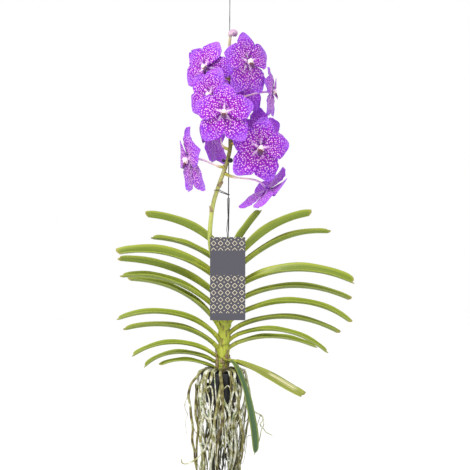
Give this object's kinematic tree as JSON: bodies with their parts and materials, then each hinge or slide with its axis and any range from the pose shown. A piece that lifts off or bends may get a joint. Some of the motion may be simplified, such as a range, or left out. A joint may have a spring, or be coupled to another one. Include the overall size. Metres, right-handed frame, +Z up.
{
  "type": "hanging vanda orchid",
  "caption": "Vanda orchid with strap leaves in two ranks, an arching violet flower spike and bare aerial roots, hung in a small net pot on a hooked wire.",
  "frame": {"origin": "seat of the hanger wire's hook, at the inner top of its bend", "axes": "+Z up along the hanging wire, -Y towards the viewer of the flowers, leaves in two ranks along -X and +X"},
  "size_m": [0.41, 0.1741, 0.9336],
  "materials": {
    "steel_wire": "satin",
    "black_plastic": "satin",
    "cane": "satin",
    "leaf": "satin",
    "spike": "satin",
    "bud": "satin",
    "tepals": "satin",
    "lip": "satin",
    "root": "matte",
    "printed_card": "matte",
    "dark_cord": "matte"
  },
  "bodies": {
    "root": {"aerial_roots": "root", "bloom_01_lip": "lip", "bloom_01_tepals": "tepals", "bloom_02_lip": "lip", "bloom_02_tepals": "tepals", "bloom_03_lip": "lip", "bloom_03_tepals": "tepals", "bloom_04_lip": "lip", "bloom_04_tepals": "tepals", "bloom_05_lip": "lip", "bloom_05_tepals": "tepals", "bloom_06_lip": "lip", "bloom_06_tepals": "tepals", "bloom_07_lip": "lip", "bloom_07_tepals": "tepals", "bloom_08_lip": "lip", "bloom_08_tepals": "tepals", "bloom_09_lip": "lip", "bloom_09_tepals": "tepals", "bloom_10_lip": "lip", "bloom_10_tepals": "tepals", "bloom_11_lip": "lip", "bloom_11_tepals": "tepals", "cane": "cane", "flower_spike": "spike", "hanger_wire": "steel_wire", "leaf_left_01": "leaf", "leaf_left_02": "leaf", "leaf_left_03": "leaf", "leaf_left_04": "leaf", "leaf_left_05": "leaf", "leaf_left_06": "leaf", "leaf_left_07": "leaf", "leaf_left_08": "leaf", "leaf_left_09": "leaf", "leaf_left_10": "leaf", "leaf_left_11": "leaf", "leaf_right_01": "leaf", "leaf_right_02": "leaf", "leaf_right_03": "leaf", "leaf_right_04": "leaf", "leaf_right_05": "leaf", "leaf_right_06": "leaf", "leaf_right_07": "leaf", "leaf_right_08": "leaf", "leaf_right_09": "leaf", "leaf_right_10": "leaf", "leaf_right_11": "leaf", "net_pot": "black_plastic", "spike_clip": "black_plastic", "spike_tie": "black_plastic", "swing_tag": "printed_card", "tag_cord": "dark_cord", "tip_bud": "bud"}
  },
  "joints": []
}
